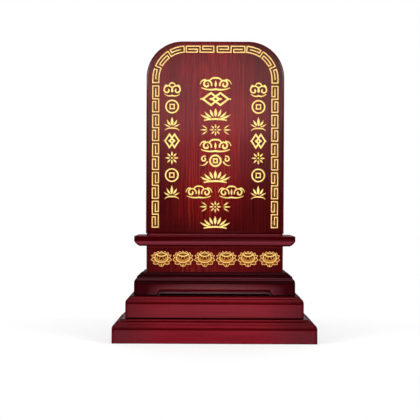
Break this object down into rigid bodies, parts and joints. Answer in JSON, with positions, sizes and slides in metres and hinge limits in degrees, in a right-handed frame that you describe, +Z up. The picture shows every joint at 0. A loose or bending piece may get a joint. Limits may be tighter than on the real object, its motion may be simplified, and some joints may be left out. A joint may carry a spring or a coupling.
{
  "type": "ancestor shrine",
  "caption": "Arch-topped wooden ancestor tablet with a sliding front board over a case of name slips, on a waisted stand raised on two moulded plinths.",
  "frame": {"origin": "centre of the lower plinth's underside, on the surface it stands on", "axes": "+Z up through the tablet, the front with the fret border faces -Y, +X to the right as seen from the front"},
  "size_m": [0.276, 0.156, 0.412],
  "materials": {
    "tablet_wood": "reddish rosewood under a clear gloss lacquer, with fine upright grain",
    "cornice_lacquer": "dark purplish red lacquer, semi-gloss",
    "dark_lacquer": "dark purplish brown lacquer, semi-gloss",
    "red_lacquer": "crimson lacquer over wood, semi-gloss",
    "plain_wood": "planed unfinished hardwood, matt",
    "slip_wood": "planed pale wood, matt",
    "gilding": "gold leaf laid in engraved lines, satin",
    "screw_brass": "dull brass"
  },
  "bodies": {
    "lower_plinth": {"lower_front_rail": "red_lacquer", "lower_right_rail": "red_lacquer", "lower_back_rail": "red_lacquer", "lower_left_rail": "red_lacquer", "lower_top_board": "plain_wood", "lower_corner_block_1": "plain_wood", "lower_corner_block_2": "plain_wood", "lower_corner_block_3": "plain_wood", "lower_corner_block_4": "plain_wood"},
    "upper_plinth": {"upper_front_rail": "red_lacquer", "upper_right_rail": "red_lacquer", "upper_back_rail": "red_lacquer", "upper_left_rail": "red_lacquer", "upper_top_board": "plain_wood", "upper_corner_block_1": "plain_wood", "upper_corner_block_2": "plain_wood", "upper_corner_block_3": "plain_wood", "upper_corner_block_4": "plain_wood"},
    "stand": {"base_front_rail": "dark_lacquer", "base_right_rail": "dark_lacquer", "base_back_rail": "dark_lacquer", "base_left_rail": "dark_lacquer", "base_top_board": "plain_wood", "base_corner_block_1": "plain_wood", "base_corner_block_2": "plain_wood", "base_corner_block_3": "plain_wood", "base_corner_block_4": "plain_wood", "waist_front_panel": "tablet_wood", "waist_right_panel": "tablet_wood", "waist_back_panel": "tablet_wood", "waist_left_panel": "tablet_wood", "waist_corner_block_1": "plain_wood", "waist_corner_block_2": "plain_wood", "waist_corner_block_3": "plain_wood", "waist_corner_block_4": "plain_wood", "cornice_board": "cornice_lacquer", "tablet_seat": "cornice_lacquer", "case_left_rail": "tablet_wood", "case_right_rail": "tablet_wood", "case_arch_rail": "tablet_wood", "case_sill": "plain_wood", "back_board": "tablet_wood", "slip_guide_left": "plain_wood", "slip_guide_right": "plain_wood", "name_slip_1": "slip_wood", "name_slip_2": "slip_wood", "name_slip_3": "slip_wood", "name_slip_4": "slip_wood", "name_slip_5": "slip_wood", "name_slip_6": "slip_wood", "name_slip_7": "slip_wood"},
    "front_board": {"front_board": "tablet_wood", "left_batten": "plain_wood", "right_batten": "plain_wood"}
  },
  "joints": [
    {"name": "upper_plinth_lift", "type": "slide", "parent": "lower_plinth", "child": "upper_plinth", "axis": [0, 0, 1], "range_m": [0, 0.06]},
    {"name": "stand_lift", "type": "slide", "parent": "upper_plinth", "child": "stand", "axis": [0, 0, 1], "range_m": [0, 0.06]},
    {"name": "front_board_slide", "type": "slide", "parent": "stand", "child": "front_board", "axis": [0, 0, 1], "range_m": [0, 0.25]}
  ]
}
